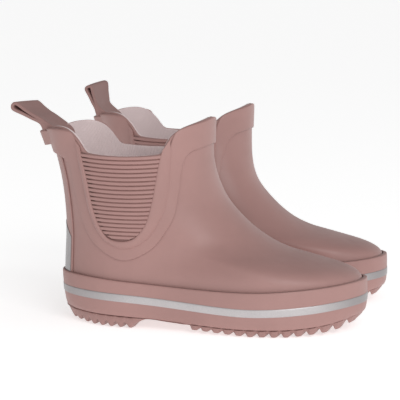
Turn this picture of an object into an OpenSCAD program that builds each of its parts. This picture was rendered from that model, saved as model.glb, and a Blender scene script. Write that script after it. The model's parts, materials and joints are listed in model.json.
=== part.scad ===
/* [Sole] */
// Length of the sole from heel to toe
sole_length = 175; // [160:1:190]
// Width across the foxing at the ball of the foot
ball_width = 74; // [68:1:80]
// Width across the foxing at the heel
heel_width = 58; // [54:1:62]
// Thickness of the foxing strip that wraps the foot
foxing_t = 2.4; // [2:0.1:3]
// Distance between two heel lugs
heel_pitch = 5.9; // [5:0.1:8]
// Distance between two forefoot bars
bar_pitch = 6.4; // [6:0.1:9]

/* [Upper] */
// Height of the collar at the front of the leg
collar_height = 117.5; // [110:0.5:125]
// Outer width of the leg
shaft_width = 66.5; // [62:0.5:70]
// Thickness of the rubber upper
upper_t = 1.8; // [1.4:0.1:2.2]
// Thickness of the textile lining
lining_t = 1; // [0.8:0.1:1.2]
// Thickness of the foam footbed
footbed_t = 4.2; // [3:0.1:5]
// Height of the collar overlay and its U-shaped arms above the upper
overlay_t = 1.3; // [1:0.1:1.6]
// Height of the bead round each ribbed panel
bead_t = 1.9; // [1.5:0.1:2.5]
// Height of the ribs of the side panels
rib_t = 1.3; // [1.1:0.1:1.6]
// Number of ribs on each side panel
rib_count = 20; // [14:1:22]

/* [Pull loops] */
// Width of a pull loop
loop_w = 25; // [18:1:28]
// Height of a pull loop above its hinge line
loop_l = 20; // [16:1:26]
// Backward lean of the right loop
right_lean = 58; // [20:1:65]
// Backward lean of the left loop
left_lean = 16; // [0:1:60]

/* [Pair] */
// Distance between the middles of the two boots
pair_gap = 102; // [92:1:130]
// How far the left boot stands behind the right one
left_back = 4.5; // [0:0.5:20]
// Outward turn of the left boot
left_turn = 2; // [0:0.5:6]

/* [Hidden] */

rubber = [0.69, 0.53, 0.51];
rubber_dark = [0.6, 0.46, 0.44];
rib_colour = [0.66, 0.5, 0.48];
silver = [0.8, 0.79, 0.79];
cloth = [0.78, 0.71, 0.7];
foam = [0.74, 0.67, 0.66];
board_colour = [0.72, 0.66, 0.58];

kx = sole_length / 175;          // stretch along the foot
kz = collar_height / 117.5;      // stretch of every height
heel_half = heel_width / 2 - foxing_t;
ball_half = ball_width / 2 - foxing_t;
shaft_half = shaft_width / 2;
glue = 0.1;                      // room between bonded layers
skin_gap = 0.5;                  // room between the upper and what is laid on it
foxing_gap = 0.3;                // room between the upper and the foxing
plan_z = 20;                     // level at which the foot's plan outline is taken
round_n = 2.1;                   // exponent of the rounded ends of each outline
heel_round = 46;                 // length over which an outline closes at the back
toe_round = 44;                  // length over which an outline closes at the front
toe_swing = 10.5;                // how far the toe turns to the inner side of the foot
ridge_shift = 8;                 // how far the instep ridge lies to the inner side
puff_t = 0.5;                    // thickness of the toe puff and the heel counter
puff_gap = 0.2;                  // room on both sides of them
overlay_gap = 0.7;               // room between the upper and the collar overlay
board_t = 1.8;
footbed_gap = 1.8;               // room round the footbed
origin_x = 73.3;                 // middle of the pair, from the right boot's heel
origin_y = (pair_gap + 115 * sin(left_turn)) / 2;  // middle of the pair, from the right boot's middle

// Height and distance along the foot: back line, front line
back_keys = [[0, 2.2], [20, 2.2], [34, 2.6], [56, 3.6], [78, 2], [98, -2.6], [110, -7], [120, -11]];
front_keys = [[24, 172.5], [30, 171], [34, 164], [38, 148], [42, 131.5], [48, 118], [58, 105], [72, 93.5],
    [90, 88.5], [120, 88.5]];
// Half width along the foot, below the ankle
width_keys = [[0, heel_half], [25, heel_half], [70, heel_half + 1], [115, ball_half],
    [150, ball_half - 2], [180, ball_half - 6]];
// Angle round the leg, from the front, and height of the topline
top_keys = [[0, 117.5], [15, 116.2], [36, 113], [46, 109.3], [52, 104.5], [56, 99.6], [60, 98.2], [88, 97],
    [111, 98], [115, 99.4], [119, 105], [124, 109.3], [132, 111.5], [145, 111.4], [162, 109.8], [180, 109.4]];
// Distance along the foot and height: lug tips, roots between lugs, foxing seam, stripe, foxing top, floor
tip_keys = [[0, 1.6], [14, 0.9], [26, 0], [54, 0], [84, 1.7], [100, 1.1], [112, 0.4], [118, 0], [138, 0],
    [150, 0.9], [164, 2.7], [172, 6]];
root_keys = [[0, 3.4], [50, 3.1], [59, 6.1], [70, 5.4], [84, 4.6], [112, 3.7], [136, 3.9], [150, 4.8],
    [160, 6.2], [172, 9.2]];
seam_keys = [[0, 8], [14, 7.8], [58, 6.4], [84, 5.2], [112, 4.2], [136, 4.4], [150, 5.4], [160, 6.8],
    [172, 9.8]];
stripe_keys = [[0, 18.8], [49, 16.9], [108, 13.6], [125, 13.5], [150, 15.2], [174, 18.2]];
foxing_keys = [[0, 29], [22, 28], [49, 26.3], [84, 24.8], [120, 24.6], [140, 25.7], [160, 27.3], [174, 28.8]];
floor_keys = [[0, 9.2], [60, 8.8], [112, 8.2], [136, 8.4], [150, 9.4], [160, 10.8], [172, 13]];
stripe_half = 2.2;               // half the height of the reflective stripe

// Angles of the upper's columns on one side, its levels from bottom to topline, and those of its two pieces
side_columns = [0, 9, 18, 27, 36, 44, 50, 55, 61, 72, 84, 96, 107, 114, 119, 124, 131, 142, 155, 168];
columns = concat(side_columns, [180], [for (i = [len(side_columns) - 1:-1:1]) 360 - side_columns[i]]);
levels = [0, 0.12, 0.177, 0.205, 0.228, 0.251, 0.279, 0.312, 0.353, 0.405, 0.465, 0.535, 0.615, 0.71, 0.81,
    0.91, 1];
vamp_levels = [for (t = levels) if (t < 0.36) t];
leg_levels = concat([0.3545], [for (t = levels) if (t > 0.36) t]);

// Edges of the ribbed panel: distance along the foot by height, front and rear
panel_bottom = 51;
panel_top = 98.4;
panel_dip = 1.2;                 // how far the top edge and the ribs sag in the middle
panel_front = [[51, 48], [52.4, 51], [55.5, 54.5], [63, 59.3], [73, 62], [83, 63.7], [100, 66.8]];
panel_rear = [[51, 40.2], [52.4, 37.4], [55.5, 34.4], [63, 30.4], [81, 26.6], [100, 22.4]];
rib_depth = 0.5;

// Bead round the ribbed panel, from the front corner down and up to the rear one: inner and outer edge
bead_inner = [[68.2, 101], [66.6, 95.3], [64.4, 84], [62.8, 74], [60.2, 63], [55.4, 55], [50.2, 50.7],
    [43.8, 49.4], [37.4, 50.5], [33.4, 54.4], [29.4, 63.2], [25.7, 80.5], [22, 96], [20.6, 102]];
bead_outer = [[71.6, 106.4], [71.8, 97], [71.2, 84], [69.6, 71.5], [65.2, 59.4], [58.6, 50.8], [51.6, 46.2],
    [45, 44.9], [38.2, 46.6], [32.4, 50.8], [26.8, 61], [22.5, 79.5], [19.7, 94], [18.4, 104.5]];

// Collar overlay with its arm round the panel, from the front middle to the back middle: both edges
collar_outer = [[90, 102.5], [86.4, 101.4], [81.8, 99.4], [78.6, 95.6], [76.6, 88], [75.6, 78], [74.2, 66],
    [69.5, 55.5], [60.5, 44.8], [46, 38.3], [33.5, 42.3], [23.5, 51.5], [17.8, 65], [14.6, 80], [11, 91.5],
    [3, 96], [-12, 95.5]];
collar_inner = [[90, 117.2], [86.2, 115.4], [79, 112.8], [74, 108.9], [72.4, 99], [72, 86], [70.4, 71.5],
    [65.6, 58.6], [57.4, 49.2], [45, 44.2], [33.8, 48.8], [26, 60], [22, 77], [19.2, 92], [17.6, 105.4],
    [9, 110.8], [-12, 109.2]];
bead_steps = 2;                  // stations between two points of an edge, on the bead
arm_steps = 4;                   // and on the overlay

hinge_at = [-8.5, 112.4];        // pull loop's hinge line, along the foot and up
loop_base_r = 2.2;
loop_tip_r = 3.2;
loop_t = 1.9;                    // thickness of the strap

function clamp(v, low, high) = max(low, min(high, v));
function ease(low, high, v) = let (k = clamp((v - low) / (high - low), 0, 1)) k * k * (3 - 2 * k);

// Smooth curve through keys of [position, value]
function span(keys, p, i = 0) = i >= len(keys) - 2 || p < keys[i + 1][0] ? i : span(keys, p, i + 1);
function slope(keys, i) =
    let (a = keys[max(0, i - 1)], b = keys[min(len(keys) - 1, i + 1)])
    (b[1] - a[1]) / (b[0] - a[0]);
function curve(keys, p) =
    let (c = clamp(p, keys[0][0], keys[len(keys) - 1][0]), i = span(keys, c),
        h = keys[i + 1][0] - keys[i][0], q = (c - keys[i][0]) / h)
    (2 * q ^ 3 - 3 * q ^ 2 + 1) * keys[i][1] + (q ^ 3 - 2 * q ^ 2 + q) * h * slope(keys, i)
    + (3 * q ^ 2 - 2 * q ^ 3) * keys[i + 1][1] + (q ^ 3 - q ^ 2) * h * slope(keys, i + 1);

// Smooth path through points, s runs from 0 to the last point's number
function along(path, s) =
    let (n = len(path), i = min(floor(s), n - 2), q = s - i,
        a = path[max(0, i - 1)], b = path[i], c = path[i + 1], d = path[min(n - 1, i + 2)])
    b + q / 2 * (c - a + q * (2 * a - 5 * b + 4 * c - d + q * (3 * (b - c) + d - a)));

// The last's shape: outlines at each height, rounded at both ends
function back(z) = kx * curve(back_keys, z / kz);
function front(z) = kx * curve(front_keys, z / kz);
function crown(q) = (1 - (1 - clamp(q, 0, 1)) ^ round_n) ^ (1 / round_n);
function half(x, z) =
    let (k = ease(34, 80, z / kz))
    (curve(width_keys, x / kx) * (1 - k) + shaft_half * k)
    * crown((x - back(z)) / heel_round) * crown((front(z) - x) / toe_round);
function centre(x, z) =
    toe_swing * max(0, (x / kx - 70) / 100) ^ 1.6
    + ridge_shift * ease(28, 50, z / kz) * (1 - ease(70, 100, z / kz)) * ease(50, 100, x / kx);
function at(angle, z) =
    let (b = back(z), x = b + (front(z) - b) * (1 + cos(angle)) / 2)
    [x, centre(x, z) + (sin(angle) < 0 ? -1 : 1) * half(x, z), z];
function skin(angle, z, out) =
    let (n = cross(at(angle + 1, z) - at(angle - 1, z), at(angle, z + 0.5) - at(angle, z - 0.5)))
    at(angle, z) + out * n / norm(n);

// Angle of a point on the outline, given its distance along the foot
function angle_of(x, z) = acos(clamp(2 * (x - back(z)) / (front(z) - back(z)) - 1, -1, 1));
function fold(angle) = angle > 180 ? 360 - angle : angle;
function topline(angle) = kz * curve(top_keys, fold(angle));
function floor_top(x) = curve(floor_keys, x / kx) + board_t + glue;
function level(angle, t, drop = 0) =
    let (low = floor_top(at(angle, plan_z)[0]))
    low + (topline(angle) - drop - low) * t;

// Layer of the upper between two offsets, over some of its columns and levels
function layer(angles, rows, out, drop = 0) =
    [for (a = angles) [for (t = rows) skin(a, level(a, t, drop), out)]];

// Closed solid between an outer and an inner grid of points
module wall(outer, inner, ring = false) {
    n = len(outer);
    m = len(outer[0]);
    last = ring ? n - 1 : n - 2;
    function o(i, j) = (i % n) * m + j;
    function p(i, j) = (n + i % n) * m + j;
    points = [for (grid = [outer, inner]) for (column = grid) for (q = column) q];
    sides = [for (i = [0:last]) for (j = [0:m - 2]) each [
        [o(i, j), o(i, j + 1), o(i + 1, j + 1)], [o(i, j), o(i + 1, j + 1), o(i + 1, j)],
        [p(i, j), p(i + 1, j + 1), p(i, j + 1)], [p(i, j), p(i + 1, j), p(i + 1, j + 1)]]];
    rims = [for (i = [0:last]) each [
        [o(i, 0), o(i + 1, 0), p(i + 1, 0)], [o(i, 0), p(i + 1, 0), p(i, 0)],
        [o(i + 1, m - 1), o(i, m - 1), p(i, m - 1)], [o(i + 1, m - 1), p(i, m - 1), p(i + 1, m - 1)]]];
    ends = ring ? [] : [for (j = [0:m - 2]) each [
        [o(0, j + 1), o(0, j), p(0, j)], [o(0, j + 1), p(0, j), p(0, j + 1)],
        [o(n - 1, j), o(n - 1, j + 1), p(n - 1, j + 1)], [o(n - 1, j), p(n - 1, j + 1), p(n - 1, j)]]];
    polyhedron(points, concat(sides, rims, ends), convexity = 8);
}

// Plan outline of the foot at an offset, and a slice of it between two lines seen from the side
function plan(out) = [for (i = [0:63]) let (q = skin(360 * i / 64, plan_z, out)) [q[0], q[1]]];
function profile(low, high) = concat(low, [for (i = [len(high) - 1:-1:0]) high[i]]);
function line(keys, rise = 0) = [for (x = [-6:6:186]) [x, curve(keys, x / kx) + rise]];
module side_slice(points) rotate([90, 0, 0]) linear_extrude(height = 140, center = true) polygon(points);
module foot_slice(out, points) intersection() {
    linear_extrude(height = 60) polygon(plan(out));
    side_slice(points);
}
module foot_band(out, inner, points) intersection() {
    difference() {
        translate([0, 0, -1]) linear_extrude(height = 60) polygon(plan(out));
        translate([0, 0, -2]) linear_extrude(height = 62) polygon(plan(inner));
    }
    side_slice(points);
}

// One lug or bar seen from the side: root, tip, tip, root
function lug(x, pitch) =
    let (root = curve(root_keys, x / kx), tip = max(0, curve(tip_keys, (x + pitch * 0.4) / kx)))
    [[x, root], [x + pitch * 0.22, tip], [x + pitch * 0.58, tip], [x + pitch * 0.8, root]];

module outsole() color(rubber_dark) {
    heel_lugs = [for (i = [0:8]) each lug((i * heel_pitch - 0.9) * kx, heel_pitch * kx)];
    arch = [for (x = [59, 70, 82]) [x * kx, curve(root_keys, x)]];
    bars = [for (i = [0:13]) each lug((84.6 + i * bar_pitch) * kx, bar_pitch * kx)];
    bottom = concat([[-6, 4.5]], heel_lugs, arch, bars, [[190, 12]]);
    foot_slice(foxing_t - 0.4, profile(bottom, line(seam_keys, -glue / 2)));
}

module midsole_filler() color(foam)
    foot_slice(-glue, profile(line(seam_keys, glue / 2), line(floor_keys, -glue / 2)));

module insole_board() color(board_colour)
    foot_slice(-glue, profile(line(floor_keys), line(floor_keys, board_t)));

module footbed() color(foam)
    foot_slice(-upper_t - lining_t - puff_t - footbed_gap,
        profile(line(floor_keys, board_t + glue), line(floor_keys, board_t + footbed_t)));

module foxing() color(rubber)
    foot_band(foxing_t, foxing_gap, profile(line(seam_keys, glue / 2), line(foxing_keys)));

module reflective_stripe() color(silver)
    foot_band(foxing_t + 0.5, foxing_t + glue / 2,
        profile(line(stripe_keys, -stripe_half), line(stripe_keys, stripe_half)));

// The upper is laid up from two sheets, the vamp round the foot and the leg, joined edge to edge
module shell(rows) color(rubber)
    wall(layer(columns, rows, 0), layer(columns, rows, -upper_t), true);

// The lining steps in where the toe puff and the heel counter lie behind it
function lining_out(a, z) =
    let (toe = (1 - ease(60, 70, fold(a))) * (1 - ease(44, 52, z / kz)),
        heel = ease(116, 124, fold(a)) * (1 - ease(48, 60, z / kz)))
    -upper_t - glue - (puff_t + 2 * puff_gap) * max(toe, heel);
function lining_layer(depth) =
    [for (a = columns) [for (t = levels)
        let (z = level(a, t, 0.8)) skin(a, z, lining_out(a, z) - depth)]];
module lining() color(cloth) wall(lining_layer(0), lining_layer(lining_t), true);

module toe_puff() color(rubber_dark) {
    angles = concat([for (i = [8:-1:1]) -side_columns[i]], [for (i = [0:8]) side_columns[i]]);
    rows = [for (t = levels) if (t < 0.26) t];
    wall(layer(angles, rows, -upper_t - puff_gap), layer(angles, rows, -upper_t - puff_gap - puff_t));
}

module heel_counter() color(rubber_dark) {
    angles = [for (a = columns) if (abs(a - 180) < 50) a];
    rows = [for (t = levels) if (t < 0.32) t];
    wall(layer(angles, rows, -upper_t - puff_gap), layer(angles, rows, -upper_t - puff_gap - puff_t));
}

// Point of an overlay on one side of the leg: side is -1 on the outer side, 1 on the inner
function on_side(side, x, z, out) = skin(side < 0 ? 360 - angle_of(x * kx, z * kz) : angle_of(x * kx, z * kz),
    z * kz, out);
// A grid runs the other way round on the inner side, so that its faces keep pointing outwards
function turned(side, grid) = side < 0 ? [for (i = [len(grid) - 1:-1:0]) grid[i]] : grid;

module gusset(side) {
    rows = 2 * rib_count;
    function spot(u, j, out) =
        let (z = panel_bottom + (panel_top - panel_bottom) * j / rows,
            x = curve(panel_rear, z) * u + curve(panel_front, z) * (1 - u))
        on_side(side, x, z - 4 * panel_dip * u * (1 - u) * j / rows, out);
    outer = [for (i = [0:4]) [for (j = [0:rows]) spot(i / 4, j, rib_t - (j % 2 == 0 ? rib_depth : 0))]];
    inner = [for (i = [0:4]) [for (j = [0:rows]) spot(i / 4, j, skin_gap)]];
    color(rib_colour) wall(turned(side, outer), turned(side, inner));
}

// Strip between two edges given from front to back, with its height at the inner edge, middle and outer edge
module strip(side, inner_edge, outer_edge, heights, steps, gap) {
    stations = [for (i = [0:steps * (len(inner_edge) - 1)]) i / steps];
    w = len(heights) - 1;
    function on_leg(edge) = [for (p = edge) [angle_of(p[0] * kx, p[1] * kz), p[1] * kz]];
    inner_path = on_leg(inner_edge);
    outer_path = on_leg(outer_edge);
    function spot(s, k, out) =
        let (q = along(inner_path, s) * (1 - k) + along(outer_path, s) * k)
        skin(side < 0 ? 360 - q[0] : q[0], q[1], out);
    outer = [for (s = stations) [for (k = [w:-1:0]) spot(s, k / w, heights[k])]];
    inner = [for (s = stations) [for (k = [w:-1:0]) spot(s, k / w, gap)]];
    wall(turned(side, outer), turned(side, inner));
}

module gusset_bead(side) color(rubber)
    strip(side, bead_inner, bead_outer, [bead_t * 0.75, bead_t, bead_t, bead_t * 0.6], bead_steps, skin_gap);

module collar_overlay(side) color(rubber)
    strip(side, collar_inner, collar_outer, [overlay_t, overlay_t, overlay_t * 0.8], arm_steps, overlay_gap);

// Patch over the back of the boot, symmetric about the middle line: wrap is how far it reaches forward
module back_patch(wrap, low, high, edge_drop, steps, inside, outside) {
    function spot(u, t, out) =
        let (z = (low + (high - edge_drop * u * u - low) * t) * kz,
            edge = 180 - angle_of(back(z) + wrap * kx, z))
        skin(180 - edge * u, z, out);
    grid_u = [for (i = [0:8]) 1 - i / 4];
    outer = [for (u = grid_u) [for (j = [0:steps]) spot(u, j / steps, outside)]];
    inner = [for (u = grid_u) [for (j = [0:steps]) spot(u, j / steps, inside)]];
    wall(outer, inner);
}

module backstay() color(rubber) back_patch(8, 30, 94.4, 4.5, 9, skin_gap, 0.95);
module heel_reflector() color(silver) back_patch(7.2, 30.3, 58, 9, 5, 1.1, 1.5);
module loop_tab() color(rubber) back_patch(2.9, 99.6, 108.4, 0.4, 3, overlay_t + skin_gap, overlay_t + 4.2);
module loop_anchor() color(rubber)
    back_patch(3.4, 97, 107.4, 0.4, 3, -upper_t - lining_t - glue - 2, -upper_t - lining_t - glue - skin_gap);

// Outline round two circles on the upright axis
function drop_shape(low, low_r, high, high_r) =
    let (a = asin((low_r - high_r) / (high - low)))
    concat(
        [for (i = [0:10]) let (t = a + (180 - 2 * a) * i / 10) [high_r * cos(t), high + high_r * sin(t)]],
        [for (i = [0:8]) let (t = 180 - a + (180 + 2 * a) * i / 8) [low_r * cos(t), low + low_r * sin(t)]]);

module pull_loop(lean) color(rubber)
    translate([hinge_at[0] * kx, 0, hinge_at[1] * kz]) rotate([0, -lean, 0]) rotate([90, 0, 0])
        linear_extrude(height = loop_w, center = true) difference() {
            polygon(drop_shape(0, loop_base_r, loop_l - loop_tip_r, loop_tip_r));
            polygon(drop_shape(5, 0.4, loop_l - loop_tip_r, loop_tip_r - loop_t));
        }

module on_right() translate([-origin_x * kx, -origin_y, 0]) children();
module on_left() translate([-(origin_x + left_back) * kx, pair_gap - origin_y, 0]) rotate([0, 0, left_turn])
    mirror([0, 1, 0]) children();

on_right() outsole();  // right_outsole
on_right() midsole_filler();  // right_midsole_filler
on_right() insole_board();  // right_insole_board
on_right() foxing();  // right_foxing
on_right() reflective_stripe();  // right_reflective_stripe
on_right() shell(vamp_levels);  // right_vamp_shell
on_right() shell(leg_levels);  // right_leg_shell
on_right() toe_puff();  // right_toe_puff
on_right() heel_counter();  // right_heel_counter
on_right() lining();  // right_lining
on_right() footbed();  // right_footbed
on_right() gusset(-1);  // right_gusset_lateral
on_right() gusset(1);  // right_gusset_medial
on_right() gusset_bead(-1);  // right_gusset_bead_lateral
on_right() gusset_bead(1);  // right_gusset_bead_medial
on_right() collar_overlay(-1);  // right_collar_overlay_lateral
on_right() collar_overlay(1);  // right_collar_overlay_medial
on_right() backstay();  // right_backstay
on_right() heel_reflector();  // right_heel_reflector
on_right() loop_tab();  // right_loop_tab
on_right() loop_anchor();  // right_loop_anchor
on_right() pull_loop(right_lean);  // right_pull_loop
on_left() outsole();  // left_outsole
on_left() midsole_filler();  // left_midsole_filler
on_left() insole_board();  // left_insole_board
on_left() foxing();  // left_foxing
on_left() reflective_stripe();  // left_reflective_stripe
on_left() shell(vamp_levels);  // left_vamp_shell
on_left() shell(leg_levels);  // left_leg_shell
on_left() toe_puff();  // left_toe_puff
on_left() heel_counter();  // left_heel_counter
on_left() lining();  // left_lining
on_left() footbed();  // left_footbed
on_left() gusset(-1);  // left_gusset_lateral
on_left() gusset(1);  // left_gusset_medial
on_left() gusset_bead(-1);  // left_gusset_bead_lateral
on_left() gusset_bead(1);  // left_gusset_bead_medial
on_left() collar_overlay(-1);  // left_collar_overlay_lateral
on_left() collar_overlay(1);  // left_collar_overlay_medial
on_left() backstay();  // left_backstay
on_left() heel_reflector();  // left_heel_reflector
on_left() loop_tab();  // left_loop_tab
on_left() loop_anchor();  // left_loop_anchor
on_left() pull_loop(left_lean);  // left_pull_loop
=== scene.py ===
import functools
import json
import math

import bmesh
import bpy
from mathutils import Matrix, Vector


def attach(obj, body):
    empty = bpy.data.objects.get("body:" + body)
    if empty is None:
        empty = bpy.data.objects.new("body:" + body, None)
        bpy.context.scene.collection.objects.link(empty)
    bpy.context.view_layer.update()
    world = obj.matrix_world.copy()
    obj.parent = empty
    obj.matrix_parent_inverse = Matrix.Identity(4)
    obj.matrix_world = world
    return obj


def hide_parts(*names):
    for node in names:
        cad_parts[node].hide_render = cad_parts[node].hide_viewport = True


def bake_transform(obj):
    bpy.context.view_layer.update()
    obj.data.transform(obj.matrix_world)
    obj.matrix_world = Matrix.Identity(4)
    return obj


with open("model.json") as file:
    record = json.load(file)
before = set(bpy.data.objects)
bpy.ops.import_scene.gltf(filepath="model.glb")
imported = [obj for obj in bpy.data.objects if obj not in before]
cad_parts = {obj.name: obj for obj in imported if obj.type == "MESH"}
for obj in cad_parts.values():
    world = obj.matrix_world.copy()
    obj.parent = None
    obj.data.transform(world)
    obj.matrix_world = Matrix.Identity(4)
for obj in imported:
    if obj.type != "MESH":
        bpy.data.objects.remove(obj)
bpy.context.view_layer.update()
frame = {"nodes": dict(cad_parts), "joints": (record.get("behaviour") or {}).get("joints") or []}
joints = {joint["name"]: joint for joint in frame["joints"]}
sides = ("right", "left")

# where the boots stand
# Each boot is modelled in millimetres from its own heel: x to the toe, y to the inner side, z up.
loopHinge = Vector((-8.5, 0, 112.4))


def bootPlace(side):
    joint = joints[side + "_loop_flex"]
    turn = math.atan2(-joint["axis"][0], joint["axis"][1])
    place = Matrix.Rotation(turn, 4, "Z") @ Matrix.Scale(0.001, 4)
    if side == "left":
        place = place @ Matrix.Scale(-1, 4, (0, 1, 0))
    return Matrix.Translation(Vector(joint["pos_m"]) - place @ loopHinge) @ place


places = {side: bootPlace(side) for side in sides}

# shape of the foot and the leg
last = {
    "backLine": [(0, 2.2), (20, 2.2), (34, 2.6), (56, 3.6), (78, 2), (98, -2.6), (110, -7), (120, -11)],
    "frontLine": [(24, 172.5), (30, 171), (34, 164), (38, 148), (42, 131.5), (48, 118), (58, 105),
                  (72, 93.5), (90, 88.5), (120, 88.5)],
    "halfWidth": [(0, 26.6), (25, 26.6), (70, 27.6), (115, 34.6), (150, 32.6), (180, 28.6)],
    "legHalf": 33.25,
    "heelRound": 46,
    "toeRound": 44,
    "roundness": 2.1,
    "toeSwing": 10.5,
    "swingStart": 70,
    "swingPower": 1.6,
    "ridgeShift": 8,
    "footTop": 34,      # between these two heights the foot's width turns into the leg's
    "legStart": 80,
    "planHeight": 20,
    "floor": [(0, 11.1), (60, 10.7), (112, 10.1), (136, 10.3), (150, 11.3), (160, 12.7), (172, 14.9)],
    "topline": [(0, 117.5), (15, 116.2), (36, 113), (46, 109.3), (52, 104.5), (56, 99.6), (60, 98.2),
                (88, 97), (111, 98), (115, 99.4), (119, 105), (124, 109.3), (132, 111.5), (145, 111.4),
                (162, 109.8), (180, 109.4)],
    "levels": [0, 0.075, 0.14, 0.177, 0.205, 0.228, 0.251, 0.279, 0.312, 0.353, 0.409, 0.484, 0.586, 0.71,
               0.81, 0.91, 1],
}


def clamp(v, low, high):
    return max(low, min(high, v))


def ease(low, high, v):
    k = clamp((v - low) / (high - low), 0, 1)
    return k * k * (3 - 2 * k)


def window(keys, v):
    # rises from 0 to 1 between the first two places and falls again between the last two
    return ease(keys[0], keys[1], v) * (1 - ease(keys[2], keys[3], v))


def slope(keys, i):
    a = keys[max(0, i - 1)]
    b = keys[min(len(keys) - 1, i + 1)]
    return (b[1] - a[1]) / (b[0] - a[0])


def curve(keys, p):
    # smooth curve through pairs of place and value
    p = clamp(p, keys[0][0], keys[-1][0])
    i = 0
    while i < len(keys) - 2 and p >= keys[i + 1][0]:
        i += 1
    h = keys[i + 1][0] - keys[i][0]
    q = (p - keys[i][0]) / h
    return ((2 * q ** 3 - 3 * q ** 2 + 1) * keys[i][1] + (q ** 3 - 2 * q ** 2 + q) * h * slope(keys, i)
            + (3 * q ** 2 - 2 * q ** 3) * keys[i + 1][1] + (q ** 3 - q ** 2) * h * slope(keys, i + 1))


def along(path, s):
    # smooth path through points; s runs from 0 to the last point's number
    i = int(clamp(math.floor(s), 0, len(path) - 2))
    q = s - i
    a, b, c, d = (Vector(path[int(clamp(j, 0, len(path) - 1))]) for j in (i - 1, i, i + 1, i + 2))
    return b + q / 2 * (c - a + q * (2 * a - 5 * b + 4 * c - d + q * (3 * (b - c) + d - a)))


def back(z):
    return curve(last["backLine"], z)


def front(z):
    return curve(last["frontLine"], z)


def crown(q):
    n = last["roundness"]
    return (1 - (1 - clamp(q, 0, 1)) ** n) ** (1 / n)


def halfWidth(x, z):
    leg = ease(last["footTop"], last["legStart"], z)
    width = curve(last["halfWidth"], x) * (1 - leg) + last["legHalf"] * leg
    return width * crown((x - back(z)) / last["heelRound"]) * crown((front(z) - x) / last["toeRound"])


def middle(x, z):
    swing = last["toeSwing"] * max(0, (x - last["swingStart"]) / 100) ** last["swingPower"]
    ridge = last["ridgeShift"] * window((28, 50, 70, 100), z) * ease(50, 100, x)
    return swing + ridge


def outline(angle, z):
    # 0 is the middle of the front, 90 the inner side, 180 the back, 270 the outer side
    b = back(z)
    x = b + (front(z) - b) * (1 + math.cos(math.radians(angle))) / 2
    side = -1 if math.sin(math.radians(angle)) < 0 else 1
    return Vector((x, middle(x, z) + side * halfWidth(x, z), z))


def skin(angle, z, out=0):
    across = outline(angle + 1, z) - outline(angle - 1, z)
    up = outline(angle, z + 0.5) - outline(angle, z - 0.5)
    return outline(angle, z) + across.cross(up).normalized() * out


def angleAt(x, z):
    return math.degrees(math.acos(clamp(2 * (x - back(z)) / (front(z) - back(z)) - 1, -1, 1)))


def fold(angle):
    angle = angle % 360
    return 360 - angle if angle > 180 else angle


def topline(angle):
    return curve(last["topline"], fold(angle))


def level(angle, t, drop=0):
    low = curve(last["floor"], outline(angle, last["planHeight"]).x)
    return low + (topline(angle) - drop - low) * t


def rowLevel(v):
    # rows lie closer together over the instep
    keys = list(enumerate(last["levels"]))
    return curve(keys, v * (len(keys) - 1))


@functools.lru_cache(maxsize=None)
def planPlace(angle, out):
    return tuple(skin(angle, last["planHeight"], out))


def planPoint(angle, out):
    return Vector(planPlace(angle, out))


# modelling helpers
def layGrid(columns, rows, spot, closed=False):
    # a grid whose two shares, round or along and up, are turned into points by spot
    bm = bmesh.new()
    bm.loops.layers.uv.new("weave")
    bmesh.ops.create_grid(bm, x_segments=columns, y_segments=rows, size=1, calc_uvs=True)
    for v in bm.verts:
        v.co = spot((v.co.x + 1) / 2, (v.co.y + 1) / 2)
    if closed:
        bmesh.ops.remove_doubles(bm, verts=bm.verts, dist=0.002)
    bm.normal_update()
    return bm


def fillEnds(bm):
    edges = [e for e in bm.edges if e.is_boundary]
    bmesh.ops.holes_fill(bm, edges=edges, sides=0)
    bmesh.ops.recalc_face_normals(bm, faces=bm.faces)
    return bm


def roundRims(bm, offset, segments=3, least=60):
    rims = [e for e in bm.edges if e.is_manifold and e.calc_face_angle(0) > math.radians(least)]
    bmesh.ops.bevel(bm, geom=rims, offset=offset, offset_type="OFFSET", segments=segments, profile=0.5,
                    affect="EDGES", clamp_overlap=True, material=-1)
    return bm


def thicken(bm, wall):
    # the laid surface stays outside and the wall grows inwards from it
    bmesh.ops.solidify(bm, geom=bm.faces[:], thickness=wall)
    return bm


def addPiece(side, name, bm, finish, body, nodes, crease=50):
    made = bm.copy()
    made.transform(places[side])
    if side == "left":
        bmesh.ops.reverse_faces(made, faces=made.faces)
    mesh = bpy.data.meshes.new(f"{side}_{name}_mesh")
    made.to_mesh(mesh)
    made.free()
    mesh.shade_smooth()
    mesh.set_sharp_from_angle(angle=math.radians(crease))
    mesh.materials.append(finish["material"])
    piece = bpy.data.objects.new(f"{side}_{name}", mesh)
    bpy.context.scene.collection.objects.link(piece)
    if body:
        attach(piece, f"{side}_{body}")
    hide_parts(*[f"{side}_{node}" for node in nodes])
    return piece


# shader helpers
class Wire:
    # a socket that can stand in a sum: each operation adds its Math node
    def __init__(self, paint, socket):
        self.paint = paint
        self.socket = socket

    def _calc(self, operation, *values):
        return self.paint.add("ShaderNodeMath", {"operation": operation}, dict(enumerate(values)))

    def __add__(self, other):
        return self._calc("ADD", self, other)

    def __radd__(self, other):
        return self._calc("ADD", other, self)

    def __sub__(self, other):
        return self._calc("SUBTRACT", self, other)

    def __rsub__(self, other):
        return self._calc("SUBTRACT", other, self)

    def __mul__(self, other):
        return self._calc("MULTIPLY", self, other)

    def __rmul__(self, other):
        return self._calc("MULTIPLY", other, self)

    def __lt__(self, other):
        return self._calc("LESS_THAN", self, other)

    def sine(self):
        return self._calc("SINE", self)

    def between(self, low, high):
        # 0 at low and 1 at high, with soft ends
        settings = {"interpolation_type": "SMOOTHSTEP"}
        values = {"Value": self, "From Min": low, "From Max": high}
        return self.paint.add("ShaderNodeMapRange", settings, values)


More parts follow.
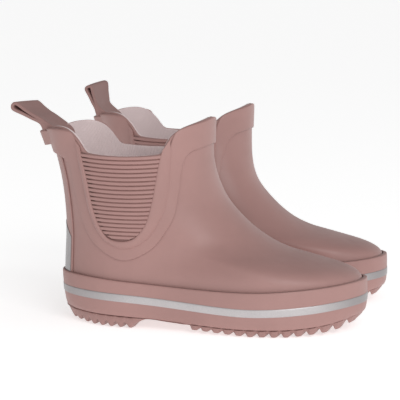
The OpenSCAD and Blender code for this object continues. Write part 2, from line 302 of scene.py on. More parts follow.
class Paint:
    def __init__(self, name, owners=bpy.data.materials):
        self.owner = owners.new(name)
        self.owner.use_nodes = True
        self.tree = self.owner.node_tree
        self.tree.nodes.clear()

    def add(self, kind, settings=None, values=None, output=0):
        node = self.tree.nodes.new(kind)
        for key, value in (settings or {}).items():
            if key == "stops":
                while len(node.color_ramp.elements) < len(value):
                    node.color_ramp.elements.new(0.5)
                for element, (position, colour) in zip(node.color_ramp.elements, value):
                    element.position = position
                    element.color = (*colour, 1)
            else:
                setattr(node, key, value)
        for key, value in (values or {}).items():
            if isinstance(value, Wire):
                self.tree.links.new(value.socket, node.inputs[key])
            else:
                node.inputs[key].default_value = value
        return None if output is None else Wire(self, node.outputs[output])

    def place(self):
        return self.add("ShaderNodeTexCoord", output="Object")

    def noise(self, scale, detail=3, roughness=0.5, where=None):
        values = {"Vector": where or self.place(), "Scale": scale, "Detail": detail, "Roughness": roughness}
        return self.add("ShaderNodeTexNoise", None, values)

    def blend(self, share, a, b):
        # a Mix node's colour sockets are its seventh and eighth
        first, second = (c if isinstance(c, Wire) else (*c, 1) for c in (a, b))
        return self.add("ShaderNodeMix", {"data_type": "RGBA"}, {0: share, 6: first, 7: second}, output=2)

    def specks(self, scale, size, kept):
        # small round marks in a few cells of a scattered pattern
        values = {"Vector": self.place(), "Scale": scale}
        spread = self.add("ShaderNodeTexVoronoi", None, values, output="Distance")
        cell = self.add("ShaderNodeTexVoronoi", None, values, output="Color")
        chosen = self.add("ShaderNodeSeparateColor", None, {"Color": cell}, output=0)
        return (1 - spread.between(size * 0.5, size)) * (chosen < kept)

    def bump(self, height, distance, strength=1):
        values = {"Height": height, "Distance": distance, "Strength": strength}
        return self.add("ShaderNodeBump", None, values)

    def split(self, vector):
        node = self.add("ShaderNodeSeparateXYZ", None, {"Vector": vector}).socket.node
        return [Wire(self, socket) for socket in node.outputs]

    def surface(self, values):
        shader = self.add("ShaderNodeBsdfPrincipled", None, values, output="BSDF")
        self.add("ShaderNodeOutputMaterial", {"target": "ALL"}, {"Surface": shader}, output=None)
        return self.owner


# finishes
rubber = {
    "colour": (0.405, 0.231, 0.212),
    "shade": (0.335, 0.192, 0.176),     # in the cloudier patches
    "speck": (0.16, 0.085, 0.075),
    "clouds": 22,                       # patches to a metre
    "grain": 1500,
    "roughness": 0.43,
    "refraction": 1.42,
    "seam": 0.33,                       # how bright the rubber still is under the painted shade in a crease or groove
}


def rubberFinish(name, slot, tint=1.0, roughness=0.0, seam=None):
    # satin moulded rubber: cloudy colour, a few pits, faint hand-laid waves and a fine grain
    p = Paint(name)
    cloud = p.noise(rubber["clouds"], 4, 0.55).between(0.3, 0.72)
    fine = p.noise(rubber["clouds"] * 9, 2, 0.5)
    colour = p.blend(cloud * 0.45 + fine * 0.2, [c * tint for c in rubber["colour"]],
                     [c * tint for c in rubber["shade"]])
    pits = p.specks(150, 0.045, 0.035) + p.specks(420, 0.07, 0.02)
    colour = p.blend(pits * 0.7, colour, rubber["speck"])
    # painted shade: the rubber is darkened where the seam attribute marks a crease or a groove
    if seam:
        paintedShade = p.add("ShaderNodeAttribute", {"attribute_name": seam}, output="Fac")
        colour = p.blend(paintedShade, colour, [c * rubber["seam"] * tint for c in rubber["colour"]])
    waves = p.noise(55, 2, 0.4) * 0.00035
    grain = p.noise(rubber["grain"], 2, 0.6) * 0.000018
    rough = rubber["roughness"] + roughness + (cloud - 0.5) * 0.08 + (fine - 0.5) * 0.1
    normal = p.bump(waves + grain - pits * 0.00005, 1, 0.6)
    values = {"Base Color": colour, "Roughness": rough, "Normal": normal, "IOR": rubber["refraction"]}
    return {"material": p.surface(values), "slot": slot}


tape = {
    "silver": (0.62, 0.59, 0.595),
    "bead": (0.42, 0.4, 0.405),
    # dark colour for the real scuffs and for the painted shade at the stripe's ends
    "scuffAndShade": (0.2, 0.18, 0.18),
    "metallic": 0.85,
}


def tapeFinish(name, shade=1.0):
    # silver film with fine glass beads under it
    p = Paint(name)
    beads = p.noise(5200, 1, 0.5)
    smears = p.noise(90, 3, 0.5)
    mottled = beads.between(0.35, 0.65) * 0.5 + smears * 0.3
    tints = [[c * shade for c in tint] for tint in (tape["silver"], tape["bead"])]
    colour = p.blend(mottled, *tints)
    # painted shade: the tape is darker towards the stripe's heel and toe ends, by the attribute that
    # makeStripe sets
    endShadeMask = p.add("ShaderNodeAttribute", {"attribute_name": "wear"}, output="Fac")
    colour = p.blend(endShadeMask, colour, tape["scuffAndShade"])
    scuffs = p.specks(260, 0.1, 0.05)
    colour = p.blend(scuffs * 0.5, colour, tape["scuffAndShade"])
    rough = 0.3 + smears * 0.12
    normal = p.bump(beads * 0.00002, 1, 0.5)
    values = {"Base Color": colour, "Roughness": rough, "Metallic": tape["metallic"], "Normal": normal}
    return {"material": p.surface(values), "slot": "reflective_tape"}


knit = {
    "colour": (0.80, 0.665, 0.66),
    "shadow": (0.56, 0.445, 0.445),
    "fleck": (0.26, 0.19, 0.20),
    "wales": 264,                       # ribs of the knit round the leg
    "courses": 150,                     # rows of loops up the leg
}


def knitFinish(name, slot, wales=1.0, courses=1.0):
    p = Paint(name)
    weave = p.add("ShaderNodeUVMap", {"uv_map": "weave"})
    u, v, _ = p.split(weave)
    wobble = p.noise(140, 2, 0.5)
    wale = (u * (knit["wales"] * wales * math.tau) + wobble * 1.5).sine() * 0.5 + 0.5
    course = (v * (knit["courses"] * courses * math.tau) + wale * 1.2 + wobble * 2).sine() * 0.5 + 0.5
    loops = wale * 0.75 + course * 0.25
    patch = p.noise(35, 3, 0.6).between(0.35, 0.7)
    # painted shade between the knit's loops, and darker random patches
    colour = p.blend((1 - loops) * 0.16 + patch * 0.22, knit["colour"], knit["shadow"])
    flecks = p.specks(190, 0.09, 0.045)
    colour = p.blend(flecks * 0.55, colour, knit["fleck"])
    fuzz = p.noise(2600, 2, 0.6)
    normal = p.bump(loops * 0.00022 + fuzz * 0.00006, 1, 0.7)
    values = {"Base Color": colour, "Roughness": 0.9 - loops * 0.08, "Normal": normal}
    values.update({"Sheen Weight": 0.35, "Sheen Roughness": 0.5, "Specular IOR Level": 0.25})
    return {"material": p.surface(values), "slot": slot}


def boardFinish(name):
    # pressed fibre board, with short fibres lying along it
    p = Paint(name)
    stretched = p.add("ShaderNodeMapping", None, {"Vector": p.place(), "Scale": (0.2, 1, 1)})
    fibres = p.noise(900, 3, 0.6, stretched)
    colour = p.blend(fibres.between(0.3, 0.7), (0.48, 0.40, 0.30), (0.33, 0.26, 0.19))
    material = p.surface({"Base Color": colour, "Roughness": 0.85, "Normal": p.bump(fibres * 0.0001, 1)})
    return {"material": material, "slot": "board"}


print("mixing the finishes")
upperFinish = rubberFinish("upperRubber", "upper_rubber")
# the foxing gets painted shade along its top edge through its crease attribute
foxingFinish = rubberFinish("foxingRubber", "upper_rubber", 1.03, 0.03, seam="crease")
# the ribbed panels get painted shade in their grooves through their groove attribute
ribFinish = rubberFinish("ribRubber", "rib_rubber", 1.0, 0.05, seam="groove")
soleFinish = rubberFinish("soleRubber", "sole_rubber", 0.95, 0.08)
strapFinish = rubberFinish("strapRubber", "strap_rubber", 0.8, 0.12)
fillerFinish = rubberFinish("fillerRubber", "filler_rubber", 0.7, 0.2)
stripeFinish = tapeFinish("stripeTape")
reflectorFinish = tapeFinish("backTape", 0.62)
liningFinish = knitFinish("liningKnit", "lining_knit")
footbedFinish = knitFinish("footbedCover", "footbed_foam", 0.5, 1.6)
boardFibre = boardFinish("fibreBoard")

# rubber upper
upper = {
    "wall": 1.8,
    "columns": 216,
    "rows": 112,
    "rim": 0.55,        # roundness of the top edge
}


def makeUpper():
    def spot(u, v):
        angle = 360 * u
        return skin(angle, level(angle, rowLevel(v)))
    bm = layGrid(upper["columns"], upper["rows"], spot, True)
    return roundRims(thicken(bm, upper["wall"]), upper["rim"])


# collar overlay and its arms round the ribbed panels
overlay = {
    "height": 1.1,
    "backHeight": 2.3,  # where it passes under the strap tab
    "start": 0.25,      # height of the underside above the upper
    "fadedHeight": 0.42,
    # between these points of an edge it is an arm with a soft inner side, and it fades at its rear
    "arm": (3.1, 4.2, 13, 13.8),
    "fade": (9.5, 12, 13.8, 14.8),
    "reachIn": 0.2,     # how far the soft side of an arm reaches over the bead, as a share of its width
    "sink": 0.25,       # how much lower it is there
    "steps": 9,         # stations between two points of an edge
    "outerEdge": [(90, 102.5), (86.4, 101.4), (81.8, 99.4), (78.6, 95.6), (76.6, 88), (75.6, 78),
                  (74.2, 66), (69.5, 55.5), (60.5, 44.8), (46, 38.3), (33.5, 42.3), (23.5, 51.5),
                  (17.8, 65), (14.6, 80), (11, 91.5), (3, 96), (-12, 95.5)],
    "innerEdge": [(90, 117.2), (86.2, 115.4), (79, 112.8), (74, 108.9), (72.4, 99), (72, 86),
                  (70.4, 71.5), (65.6, 58.6), (57.4, 49.2), (45, 44.2), (33.8, 48.8), (26, 60),
                  (22, 77), (19.2, 92), (17.6, 105.4), (9, 110.8), (-12, 109.2)],
    # share across and share of the height
    "profile": [(0.9, 0), (0.4, 0), (0.06, 0), (0, 0), (-0.02, 0.3), (-0.01, 0.68), (0.02, 0.86),
                (0.07, 0.96), (0.2, 1), (0.4, 1.02), (0.6, 1.02), (0.8, 1.01), (0.93, 0.99), (0.965, 0.9),
                (0.99, 0.66), (1, 0.3), (1, 0)],
}


def onLeg(edge):
    return [(angleAt(x, z), z) for x, z in edge]


def stripPoint(innerPath, outerPath, s, k, out, outerSide):
    a = along(innerPath, s)
    b = along(outerPath, s)
    angle = a[0] + (b[0] - a[0]) * k
    angle = -angle if angle < 0 else angle
    z = a[1] + (b[1] - a[1]) * k
    return skin(360 - angle if outerSide else angle, z, out)


def makeCollar():
    innerPath = onLeg(overlay["innerEdge"])
    outerPath = onLeg(overlay["outerEdge"])
    end = len(innerPath) - 1
    profile = overlay["profile"]

    def spot(u, v):
        outerSide = u < 0.5
        s = end * (2 * u if outerSide else 2 - 2 * u)
        k, h = profile[round(v * len(profile)) % len(profile)]
        onArm = window(overlay["arm"], s)
        k -= overlay["reachIn"] * onArm * (1 - ease(0, 0.3, k))
        rise = 1 - overlay["sink"] * onArm * (1 - ease(0, 0.35, k))
        faded = window(overlay["fade"], s)
        height = overlay["height"] + (overlay["fadedHeight"] - overlay["height"]) * faded
        height += (overlay["backHeight"] - overlay["height"]) * ease(end - 1.7, end - 0.9, s)
        out = overlay["start"] + (height * rise - overlay["start"]) * h
        return stripPoint(innerPath, outerPath, s, k, out, outerSide)
    bm = layGrid(2 * end * overlay["steps"], len(profile), spot, True)
    bmesh.ops.recalc_face_normals(bm, faces=bm.faces)
    return bm


# soft bead round each ribbed panel
bead = {
    "height": 1.95,
    "endHeight": 1.15,  # where it runs out into the collar
    "steps": 9,
    "innerEdge": [(68.2, 101), (66.6, 95.3), (64.4, 84), (62.8, 74), (60.2, 63), (55.4, 55),
                  (50.2, 50.7), (43.8, 49.4), (37.4, 50.5), (33.4, 54.4), (29.4, 63.2), (25.7, 80.5),
                  (22, 96), (20.6, 102)],
    "outerEdge": [(71.6, 106.4), (71.8, 97), (71.2, 84), (69.6, 71.5), (65.2, 59.4), (58.6, 50.8),
                  (51.6, 46.2), (45, 44.9), (38.2, 46.6), (32.4, 50.8), (26.8, 61), (22.5, 79.5),
                  (19.7, 94), (18.4, 104.5)],
    "profile": [(0.8, 0), (0.5, 0), (0.2, 0), (0, 0), (-0.01, 0.35), (0, 0.62), (0.03, 0.78), (0.09, 0.89),
                (0.2, 0.97), (0.35, 1), (0.5, 0.97), (0.65, 0.88), (0.78, 0.74), (0.9, 0.57), (0.97, 0.46),
                (1.03, 0.3), (1.04, 0)],
}


def makeBead(outerSide):
    innerPath = onLeg(bead["innerEdge"])
    outerPath = onLeg(bead["outerEdge"])
    end = len(innerPath) - 1
    profile = bead["profile"]

    def spot(u, v):
        k, h = profile[round(v * len(profile)) % len(profile)]
        s = end * u
        atEnd = 1 - ease(0, 1.6, s) * (1 - ease(end - 1.8, end - 0.2, s))
        height = bead["height"] + (bead["endHeight"] - bead["height"]) * atEnd
        rise = h + (ease(0, 0.25, h) - h) * atEnd
        out = overlay["start"] + (height - overlay["start"]) * rise
        return stripPoint(innerPath, outerPath, s, k, out, outerSide)
    return fillEnds(layGrid(end * bead["steps"], len(profile), spot, True))


# ribbed side panels
panel = {
    "ribs": 20,
    "thickness": 1.3,
    "depth": 0.7,
    "groove": 0.17,     # half a groove's width, as a share of the rib spacing
    "rowsPerRib": 10,
    "columns": 44,
    "bottom": 50.4,
    "top": 98.4,
    "sag": 1.2,
    "frontEdge": [(51, 48), (52.4, 51), (55.5, 54.5), (63, 59.3), (73, 62), (83, 63.7), (100, 66.8)],
    "rearEdge": [(51, 40.2), (52.4, 37.4), (55.5, 34.4), (63, 30.4), (81, 26.6), (100, 22.4)],
    "underBead": 1.5,   # how far the panel runs in under the bead
    "swell": 0.12,      # crown of a rib
    "pits": (0.9, 0.93, 0.97, 0.99),    # share of the width where a groove ends in a deeper pit
    "pitDepth": 0.25,
    "wall": 0.9,
}


def grooveShare(v):
    # 1 at the bottom of a groove and 0 on top of a rib
    phase = (v * panel["ribs"]) % 1
    near = min(phase, 1 - phase)
    return 1 - ease(panel["groove"] * 0.3, panel["groove"], near)


def makePanel(outerSide):
    def spot(u, v):
        z = panel["bottom"] + (panel["top"] - panel["bottom"]) * v
        ahead = curve(panel["frontEdge"], z) + panel["underBead"]
        behind = curve(panel["rearEdge"], z) - panel["underBead"]
        share = 1 - u if outerSide else u
        x = ahead + (behind - ahead) * share
        z -= 4 * panel["sag"] * share * (1 - share) * v
        sunk = grooveShare(v)
        pit = window(panel["pits"], share)
        swell = panel["swell"] * math.sin(math.pi * ((v * panel["ribs"]) % 1))
        out = panel["thickness"] - 0.1 + swell - panel["depth"] * sunk * (1 + panel["pitDepth"] * pit)
        angle = angleAt(x, z)
        return skin(360 - angle if outerSide else angle, z, out)
    rows = panel["ribs"] * panel["rowsPerRib"]
    bm = layGrid(panel["columns"], rows, spot)
    # painted shade in the grooves: strongest at the rear, where they end in pits, and half as strong at the
    # front edge
    groove = bm.verts.layers.float.new("groove")
    for i, v in enumerate(bm.verts):
        u = (i % (panel["columns"] + 1)) / panel["columns"]
        share = 1 - u if outerSide else u
        sunk = grooveShare((i // (panel["columns"] + 1)) / rows)
        v[groove] = sunk * (0.3 + 0.7 * ease(0.9, 0.93, share)) * (1 - 0.5 * (1 - ease(0.02, 0.12, share)))
    return thicken(bm, panel["wall"])


# back of the boot
backstay = {"reach": 8.3, "low": 28, "high": 96.5, "drop": 1.5, "out": 0.85, "wall": 0.8, "round": 0.3}
reflector = {"reach": 7.2, "low": 28, "high": 58, "drop": 9, "out": 1.15, "wall": 0.35, "round": 0.1}
tab = {"reach": 4.6, "low": 101.6, "high": 110, "drop": 0.8, "out": 6, "wall": 2, "round": 0.5, "fall": 3.7}
anchor = {"reach": 3.3, "low": 96, "high": 107, "drop": 0.4, "out": -2.85, "wall": 0.8, "round": 0.25}


def makeBackPatch(patch, columns=36, rows=48):
    def spot(u, v):
        across = 2 * u - 1
        z = patch["low"] + (patch["high"] - patch["drop"] * across * across - patch["low"]) * v
        edge = 180 - angleAt(back(z) + patch["reach"], z)
        out = patch["out"] - patch.get("fall", 0) * ease(0.45, 1, abs(across))
        return skin(180 + edge * across, z, out)
    return roundRims(thicken(layGrid(columns, rows, spot), patch["wall"]), patch["round"])


# foxing and its stripe
foxing = {
    "in": 0.15,
    "out": 2.4,
    "heelEnd": (3, 34),
    "toeStart": (150, 172),
    "seamShade": 0.35,  # painted shade in the crease along its top edge, and how dark it is
    "columns": 288,
    "seam": [(0, 8), (14, 7.8), (58, 6.4), (84, 5.2), (112, 4.2), (136, 4.4), (150, 5.4), (160, 6.8),
             (172, 9.8)],
    "top": [(0, 29), (22, 28), (49, 26.3), (84, 24.8), (120, 24.6), (140, 25.7), (160, 27.3), (174, 28.8)],
    # share of the height and share of the thickness, from the inside of the top down the outside
    "profile": [(0.3, 0), (0.7, 0), (1, 0), (1, 0.35), (1, 0.72), (0.993, 0.88), (0.975, 0.965), (0.94, 1),
                (0.85, 1.02), (0.75, 1.03), (0.65, 1.03), (0.5, 1.02), (0.4, 1.01), (0.3, 1), (0.2, 0.99),
                (0.12, 0.975), (0.06, 0.94), (0.02, 0.86), (0, 0.72), (0, 0)],
    # share of the height and how far the band draws in there, round the heel and round the toe
    "heelTuck": [(0, 3.1), (0.08, 2.2), (0.3, 1.3), (0.55, 0.7), (1, 0)],
    "toeTuck": [(0, 1), (0.15, 0.3), (0.4, 0), (1, 0)],
}
stripe = {
    "middle": [(0, 18.8), (49, 16.9), (108, 13.6), (125, 13.5), (150, 15.2), (174, 18.2)],
    "half": 2.2,
    "wear": 0.6,        # painted shade at the heel and the toe: how much duller the stripe is there
    "profile": [(-1, -0.3), (-1, 0.02), (-0.97, 0.14), (-0.9, 0.2), (-0.5, 0.24), (0, 0.26), (0.5, 0.24),
                (0.9, 0.2), (0.97, 0.14), (1, 0.02), (1, -0.3), (0, -0.3)],
}


def foxingOut(x, share, h):
    tuck = curve(foxing["heelTuck"], h) * (1 - ease(*foxing["heelEnd"], x))
    tuck += curve(foxing["toeTuck"], h) * ease(*foxing["toeStart"], x)
    return foxing["in"] - 0.75 * tuck + (foxing["out"] - foxing["in"] - 0.25 * tuck) * share


def makeFoxing():
    profile = foxing["profile"]

    def spot(u, v):
        h, share = profile[round(v * len(profile)) % len(profile)]
        angle = 360 * u
        x = planPoint(angle, 0).x
        low = curve(foxing["seam"], x)
        point = planPoint(angle, foxingOut(x, share, h))
        point.z = low + (curve(foxing["top"], x) - low) * h
        return point
    bm = layGrid(foxing["columns"], len(profile), spot, True)
    bmesh.ops.recalc_face_normals(bm, faces=bm.faces)
    # painted shade along the band's top edge, handed to the finish as the crease attribute
    crease = bm.verts.layers.float.new("crease")
    for v in bm.verts:
        high = curve(foxing["top"], v.co.x)
        v[crease] = foxing["seamShade"] * ease(high - 0.14, high - 0.02, v.co.z)
    return bm


def makeStripe():
    profile = stripe["profile"]

    def spot(u, v):
        rise, out = profile[round(v * len(profile)) % len(profile)]
        angle = 360 * u
        x = planPoint(angle, 0).x
        low = curve(foxing["seam"], x)
        z = curve(stripe["middle"], x) + stripe["half"] * rise
        h = (z - low) / (curve(foxing["top"], x) - low)
        point = planPoint(angle, foxingOut(x, 1.03, h) + out)
        point.z = z
        return point
    bm = layGrid(foxing["columns"], len(profile), spot, True)
    bmesh.ops.recalc_face_normals(bm, faces=bm.faces)
    # painted shade that grows towards the heel and the toe
    wear = bm.verts.layers.float.new("wear")
    for v in bm.verts:
        v[wear] = stripe["wear"] * (1 - ease(0, 60, v.co.x) + ease(150, 176, v.co.x))
    return bm


# lugged sole
sole = {
    "stations": 560,
    "sections": 36,
    "squareness": 9,
    "heelPitch": 5.9,
    "heelLugs": 9,
    "heelStart": -0.9,
    "barPitch": 6.4,
    "bars": 14,
    "barStart": 84,
    "tip": [(0, 1.6), (14, 0.9), (26, 0), (54, 0), (84, 1.7), (100, 1.1), (112, 0.4), (118, 0), (138, 0),
            (150, 0.9), (164, 2.7), (172, 6)],
    "root": [(0, 4), (14, 3.7), (34, 3.3), (49, 3.2), (52, 3.3), (59, 6.1), (70, 5.4), (84, 4.3), (90, 3.1),
             (100, 2.5), (118, 2.2), (134, 2.5), (147, 3.2), (154, 4.1), (161, 5.2), (172, 8.6)],
    "recess": 1.5,      # how far the web between two bars lies in from their ends
    # how far it lies past the upper at the seam, and how it draws in below
    "out": [(0, -1.1), (14, 0.2), (34, 2), (58, 2.2), (150, 2.1), (172, 0.9)],
    "draft": [(0, 0.5), (14, 0.4), (34, 0.16), (58, 0.1), (150, 0.12), (172, 0.45)],
}


def loft(stations, sections, squareness, low, high, out, draft=None):
    # closed body inside the foot's plan outline, with a rounded-off square section
    def spot(u, v):
        angle = 180 * (1 - u)
        x = planPoint(angle, 0).x
        past = round(out(x), 2)
        inner = planPoint(angle, past)
        outer = planPoint(360 - angle, past)
        centre = (inner + outer) / 2
        turn = v * math.tau
        c = math.copysign(abs(math.cos(turn)) ** (2 / squareness), math.cos(turn))
        s = math.copysign(abs(math.sin(turn)) ** (2 / squareness), math.sin(turn))
        point = centre + (inner - centre) * c
        bottom = low(point.x, c)
        top = high(point.x, c)
        z = (bottom + top) / 2 + (top - bottom) / 2 * s
        if draft:
            innerWay = inner - planPoint(angle, past - 1)
            outerWay = outer - planPoint(360 - angle, past - 1)
            point -= (innerWay * (1 + c) + outerWay * (1 - c)) / 2 * (top - z) * draft(x)
        point.z = z
        return point
    bm = layGrid(stations, sections, spot, True)
    bmesh.ops.recalc_face_normals(bm, faces=bm.faces)
    return bm


def tooth(x):
    # 1 on the tip of a lug or bar and 0 between them
    heelEnd = sole["heelStart"] + sole["heelPitch"] * sole["heelLugs"]
    barEnd = sole["barStart"] + sole["barPitch"] * sole["bars"]
    if x <= heelEnd:
        phase = ((x - sole["heelStart"]) / sole["heelPitch"] + 0.1) % 1
        return clamp(1.25 * (1 - abs(2 * phase - 1)) - 0.05, 0, 1)
    if sole["barStart"] <= x <= barEnd:
        phase = (x - sole["barStart"]) / sole["barPitch"] % 1
        return ease(0, 0.34, phase) * (1 - ease(0.64, 0.98, phase))
    return 0


def soleLow(x, across):
    root = curve(sole["root"], x)
    tip = max(0, curve(sole["tip"], x))
    return root + (tip - root) * tooth(x) * ease(0.03, 0.07, abs(across))


def makeSole():
    def high(x, across):
        return curve(foxing["seam"], x) - 0.05

    def out(x):
        return curve(sole["out"], x) - sole["recess"] * (1 - tooth(x)) * ease(80, 84, x)

    def draft(x):
        return curve(sole["draft"], x)
    return loft(sole["stations"], sole["sections"], sole["squareness"], soleLow, high, out, draft)


# knit lining
lining = {
    "thickness": 1,
    "gap": 0.1,
    "below": 0.35,
    "columns": 200,
    "rows": 80,
    "rim": 0.3,
    "puff": 0.8,        # room for the toe puff and the heel counter
}


def makeLining():
    def spot(u, v):
        angle = 360 * u
        z = level(angle, rowLevel(v), lining["below"])
        toe = (1 - ease(60, 70, fold(angle))) * (1 - ease(42, 50, z))
        heel = ease(116, 124, fold(angle)) * (1 - ease(48, 60, z))
        return skin(angle, z, -upper["wall"] - lining["gap"] - lining["puff"] * max(toe, heel))
    bm = layGrid(lining["columns"], lining["rows"], spot, True)
    return roundRims(thicken(bm, lining["thickness"]), lining["rim"], 2)


# foam footbed
footbed = {
    "thickness": 4.2,
    "out": -5.1,        # from the upper's outside
    "cup": 1.1,         # raised rim at the heel
    "crown": 0.5,
    "crowned": (80, 110, 130, 160),
    "cupEnd": (70, 120),
    "play": 0.4,        # how much thinner it is than its space
    "stations": 120,
    "sections": 40,
    "squareness": 4,
}


def makeFootbed():
    def low(x, across):
        return curve(last["floor"], x)

    def high(x, across):
        rim = footbed["cup"] * ease(0.6, 1, abs(across)) * (1 - ease(*footbed["cupEnd"], x))
        pad = footbed["crown"] * (1 - across * across) * window(footbed["crowned"], x)
        return curve(last["floor"], x) + footbed["thickness"] - footbed["play"] + rim + pad

    def out(x):
        return footbed["out"]
    return loft(footbed["stations"], footbed["sections"], footbed["squareness"], low, high, out)


# pull straps
strap = {
    "width": 25,
    "thickness": 1.8,
    # lean of the outer edge and of the inner edge, and how far each one reaches from the hinge line
    "right": {"lean": (62, 57), "reach": (22, 18)},
    "left": {"lean": (10, 22), "reach": (17, 16)},
    "stations": 130,
    "swell": 1.7,       # how much thicker the two legs get where they meet over the collar's rim
    "swollen": (106, 109.6, 111.5, 115),
    "bow": 62,          # how gently it wraps the back of the leg
    # share of the reach and distance from the loop's middle line, up the back and down the front
    "lobe": [(0.1, 1), (0.36, 1.02), (0.62, 1.3), (0.8, 1.78), (0.92, 1.65), (0.96, 0), (0.92, -1.65),
             (0.8, -1.78), (0.62, -1.3), (0.36, -1.02), (0.1, -1)],
    # height and distance from the back line
    "outerLeg": [(102, -2.9), (107.5, -3.3)],
    "innerLeg": [(108.2, 3.9), (103.5, 4), (99, 4)],
}


def strapLine(side, s, y):
    # middle of the strap's thickness: up outside the collar, round the loop and down inside
    share = y / strap["width"] + 0.5
    lean, reach = (a + (b - a) * share for a, b in (strap[side]["lean"], strap[side]["reach"]))
    lean = math.radians(lean)
    way = Vector((-math.sin(lean), math.cos(lean)))
    rear = Vector((-math.cos(lean), -math.sin(lean)))
    root = Vector((loopHinge.x, loopHinge.z))
    outerLeg = [(back(z) + d, z) for z, d in strap["outerLeg"]]
    lobe = [tuple(root + way * a * reach + rear * b) for a, b in strap["lobe"]]
    innerLeg = [(back(z) + d, z) for z, d in strap["innerLeg"]]
    path = outerLeg + lobe + innerLeg
    point = along(path, s * (len(path) - 1))
    wrap = 1 - 0.8 * ease(106, 118, point[1])
    return Vector((point[0] + wrap * y * y / strap["bow"], point[1]))


def makeStrap(boot):
    half = strap["width"] / 2
    t = strap["thickness"] / 2
    across = [half * k / 6 for k in range(-6, 7)]
    flat = [(-half + 0.5, t), *((y, t) for y in across[1:-1]), (half - 0.5, t)]
    side = [(half - 0.12, t * 0.7), (half, 0), (half - 0.12, -t * 0.7)]
    section = flat + side + [(-y, -offset) for y, offset in flat + side]

    def spot(u, v):
        y, offset = section[round(v * len(section)) % len(section)]
        here = strapLine(boot, u, y)
        if offset < 0:
            offset *= 1 + strap["swell"] * window(strap["swollen"], here[1])
        way = (strapLine(boot, min(1, u + 0.004), y) - strapLine(boot, max(0, u - 0.004), y)).normalized()
        return Vector((here[0] - way[1] * offset, y, here[1] + way[0] * offset))
    return fillEnds(layGrid(strap["stations"], len(section), spot, True))


# making both boots
print("shaping the upper")
upperMesh = makeUpper()
print("shaping the collar, beads and panels")
collarMesh = makeCollar()
beadMeshes = {"lateral": makeBead(True), "medial": makeBead(False)}
panelMeshes = {"lateral": makePanel(True), "medial": makePanel(False)}
print("shaping the back patches")
backstayMesh = makeBackPatch(backstay)
reflectorMesh = makeBackPatch(reflector)
tabMesh = makeBackPatch(tab, 24, 12)
anchorMesh = makeBackPatch(anchor, 24, 12)
print("shaping the foxing and the sole")
foxingMesh = makeFoxing()
stripeMesh = makeStripe()
soleMesh = makeSole()
print("shaping the lining and the footbed")
liningMesh = makeLining()
footbedMesh = makeFootbed()

hiddenFinishes = {
    "toe_puff": fillerFinish,
    "heel_counter": fillerFinish,
    "midsole_filler": fillerFinish,
    "insole_board": boardFibre,
}

for side in sides:
    print("putting together the", side, "boot")
    addPiece(side, "upper", upperMesh, upperFinish, "boot", ["vamp_shell", "leg_shell"])
    addPiece(side, "collar", collarMesh, upperFinish, "boot",
             ["collar_overlay_lateral", "collar_overlay_medial"])
    for flank in ("lateral", "medial"):
        addPiece(side, f"bead_{flank}", beadMeshes[flank], upperFinish, "boot", [f"gusset_bead_{flank}"])
        addPiece(side, f"panel_{flank}", panelMeshes[flank], ribFinish, "boot", [f"gusset_{flank}"])
    addPiece(side, "back_strip", backstayMesh, upperFinish, "boot", ["backstay"])
    addPiece(side, "back_reflector", reflectorMesh, reflectorFinish, "boot", ["heel_reflector"])
    addPiece(side, "foxing_band", foxingMesh, foxingFinish, "boot", ["foxing"])
    addPiece(side, "stripe", stripeMesh, stripeFinish, "boot", ["reflective_stripe"])
    addPiece(side, "sole", soleMesh, soleFinish, "boot", ["outsole"])
    knitLining = addPiece(side, "knit_lining", liningMesh, liningFinish, "boot", ["lining"])
    cushion = addPiece(side, "foam_footbed", footbedMesh, footbedFinish, "insole", ["footbed"])
    addPiece(side, "strap_tab", tabMesh, upperFinish, "boot", ["loop_tab"])
    addPiece(side, "strap_anchor", anchorMesh, strapFinish, "boot", ["loop_anchor"])
    pull = addPiece(side, "pull_strap", makeStrap(side), strapFinish, None, ["pull_loop"])
    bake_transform(pull)
    for node, finish in hiddenFinishes.items():
        for slot in frame["nodes"][f"{side}_{node}"].material_slots:
            slot.material = finish["material"]

# floor, light and camera
studio = {
    "floorSize": 40,
    "floorColour": (0.84, 0.84, 0.84),
    "floorGlow": 0.58,
    "horizon": 1,
    "zenith": 0.42,
    "side": 0.62,
    "key": {"place": (0.75, -1.05, 0.75), "aim": (0.02, 0, 0.06), "size": (0.7, 0.7), "power": 6},
}
camera = {
    "turn": 16.3,           # degrees round from the outer side towards the toe
    "distance": 963.8,
    "height": 196.2,
    "aim": Vector((81.3, 0, 70.2)),
    "lens": 155.2,
    "sensor": 36,
    "nearest": 0.01,
}


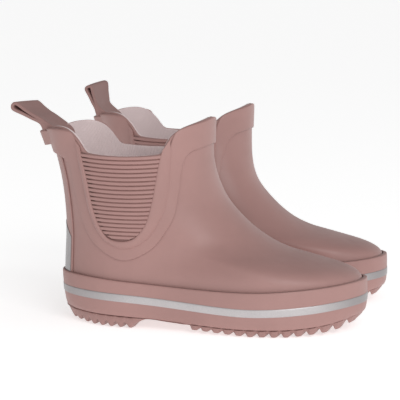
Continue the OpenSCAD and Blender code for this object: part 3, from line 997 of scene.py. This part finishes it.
def makeFloor():
    p = Paint("paleFloor")
    soft = p.noise(3, 2, 0.5)
    colour = p.blend(soft * 0.1, studio["floorColour"], [c * 0.97 for c in studio["floorColour"]])
    material = p.surface({"Base Color": colour, "Roughness": 1, "Specular IOR Level": 0,
                          "Emission Color": (1, 1, 1, 1), "Emission Strength": studio["floorGlow"]})
    bm = bmesh.new()
    bmesh.ops.create_grid(bm, x_segments=2, y_segments=2, size=studio["floorSize"])
    mesh = bpy.data.meshes.new("floor")
    bm.to_mesh(mesh)
    bm.free()
    mesh.materials.append(material)
    floor = bpy.data.objects.new("floor", mesh)
    bpy.context.scene.collection.objects.link(floor)


def makeSky():
    # bright low down and in front, dimmer overhead and on the heels' side
    p = Paint("studioSky", bpy.data.worlds)
    x, y, z = p.split(p.place())
    overhead = z.between(0.05, 0.8)
    aside = (0.2 - x * 0.95 + y * 0.3).between(0, 1)
    strength = studio["horizon"] - overhead * (studio["horizon"] - studio["zenith"])
    strength = strength * (1 - aside * studio["side"] * z.between(0.02, 0.12))
    sky = p.add("ShaderNodeBackground", None, {"Color": (1, 1, 1, 1), "Strength": strength})
    p.add("ShaderNodeOutputWorld", None, {"Surface": sky}, output=None)
    bpy.context.scene.world = p.owner


def addLight(name):
    settings = studio[name]
    light = bpy.data.lights.new(name, "AREA")
    light.shape = "RECTANGLE"
    light.size, light.size_y = settings["size"]
    light.energy = settings["power"]
    thing = bpy.data.objects.new(name, light)
    bpy.context.scene.collection.objects.link(thing)
    thing.location = settings["place"]
    way = Vector(settings["aim"]) - thing.location
    thing.rotation_euler = way.to_track_quat("-Z", "Y").to_euler()


def makeStudio():
    makeFloor()
    makeSky()
    addLight("key")


def makeCamera():
    turn = math.radians(camera["turn"])
    aim = places["right"] @ camera["aim"]
    eye = camera["aim"] + Vector((math.sin(turn), -math.cos(turn), 0)) * camera["distance"]
    eye.z = camera["height"]
    eye = places["right"] @ eye
    lens = bpy.data.cameras.new("camera")
    lens.lens = camera["lens"]
    lens.sensor_width = camera["sensor"]
    lens.clip_start = camera["nearest"]
    thing = bpy.data.objects.new("camera", lens)
    bpy.context.scene.collection.objects.link(thing)
    thing.location = eye
    thing.rotation_euler = (aim - eye).to_track_quat("-Z", "Y").to_euler()
    bpy.context.scene.camera = thing


print("lighting the studio")
makeStudio()
makeCamera()
bpy.context.scene.view_settings.view_transform = "Standard"
